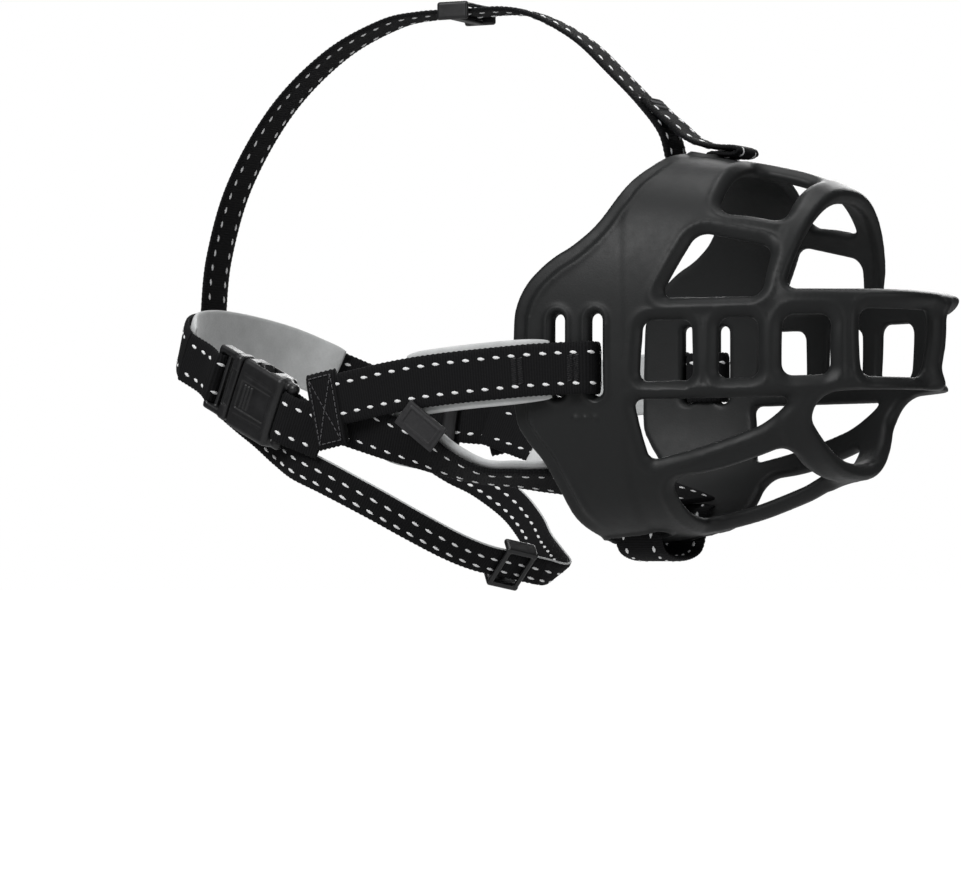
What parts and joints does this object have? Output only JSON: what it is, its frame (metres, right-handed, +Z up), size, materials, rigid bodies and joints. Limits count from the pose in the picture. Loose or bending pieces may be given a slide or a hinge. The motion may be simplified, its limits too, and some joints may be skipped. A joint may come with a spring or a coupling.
{
  "type": "basket muzzle",
  "caption": "Moulded rubber basket muzzle with open side windows, webbing cheek, jaw, neck, throat and forehead straps, and a side-release buckle.",
  "frame": {"origin": "centre of the opening at the back of the basket, where the snout goes in", "axes": "+X along the snout to the nose, +Y to the wearer's left, +Z up"},
  "size_m": [0.2643, 0.1246, 0.1889],
  "materials": {
    "rubber": "soft matt moulded rubber, slightly polished along the ridges",
    "webbing": "black ribbed webbing with two rows of pale reflective dashes",
    "lining": "light grey brushed lining over soft foam",
    "hard_plastic": "fine-grained black moulded plastic",
    "tag": "plain soft tag with a raised border and no lettering"
  },
  "bodies": {
    "harness": {"basket": "rubber", "cheek_strap_right": "webbing", "cheek_strap_left": "webbing", "cheek_pad_right": "lining", "cheek_pad_left": "lining", "jaw_strap_right": "webbing", "jaw_strap_left": "webbing", "jaw_pad_right": "lining", "jaw_pad_left": "lining", "chin_loop": "webbing", "junction_right": "webbing", "junction_left": "webbing", "neck_strap_right": "webbing", "neck_strap_left": "webbing", "nape_strap": "webbing", "nape_pad": "lining", "buckle_socket": "hard_plastic", "plug_webbing": "webbing", "throat_strap_right": "webbing", "throat_strap_left": "webbing", "throat_tuck_right": "webbing", "throat_tuck_left": "webbing", "forehead_strap_front": "webbing", "forehead_strap_rear": "webbing", "forehead_return": "webbing", "label_tag": "tag"},
    "plug": {"buckle_plug": "hard_plastic"},
    "arm_upper": {"buckle_arm_upper": "hard_plastic"},
    "arm_lower": {"buckle_arm_lower": "hard_plastic"},
    "throat_slider": {"throat_slider": "hard_plastic"},
    "forehead_slider": {"forehead_slider": "hard_plastic"},
    "strap_keeper": {"strap_keeper": "hard_plastic"}
  },
  "joints": [
    {"name": "buckle_release", "type": "slide", "parent": "harness", "child": "plug", "axis": [-0.8803, 0.2504, 0.403], "range_m": [0, 0.014], "deforming": ["plug_webbing", "buckle_arm_upper", "buckle_arm_lower"]},
    {"name": "arm_upper_press", "type": "hinge", "parent": "plug", "child": "arm_upper", "pos_m": [-0.11228, -0.05251, -0.00801], "axis": [0.2685, 0.9632, -0.0119], "range_deg": [0, 15], "stiffness_Nm_per_rad": 0.05},
    {"name": "arm_lower_press", "type": "hinge", "parent": "plug", "child": "arm_lower", "pos_m": [-0.11744, -0.05122, -0.02009], "axis": [0.2685, 0.9632, -0.0119], "range_deg": [-15, 0], "stiffness_Nm_per_rad": 0.05},
    {"name": "throat_slider_slide", "type": "slide", "parent": "harness", "child": "throat_slider", "axis": [0.5805, 0.7885, -0.2032], "range_m": [-0.004, 0.004]},
    {"name": "forehead_slider_slide", "type": "slide", "parent": "harness", "child": "forehead_slider", "axis": [-1, 0, 0], "range_m": [-0.008, 0.008]},
    {"name": "keeper_slide", "type": "slide", "parent": "harness", "child": "strap_keeper", "axis": [0.9867, 0.0493, -0.155], "range_m": [-0.004, 0.004]}
  ],
  "couplings": [
    {"joint": "arm_lower_press", "follows": "arm_upper_press", "ratio": -1}
  ]
}
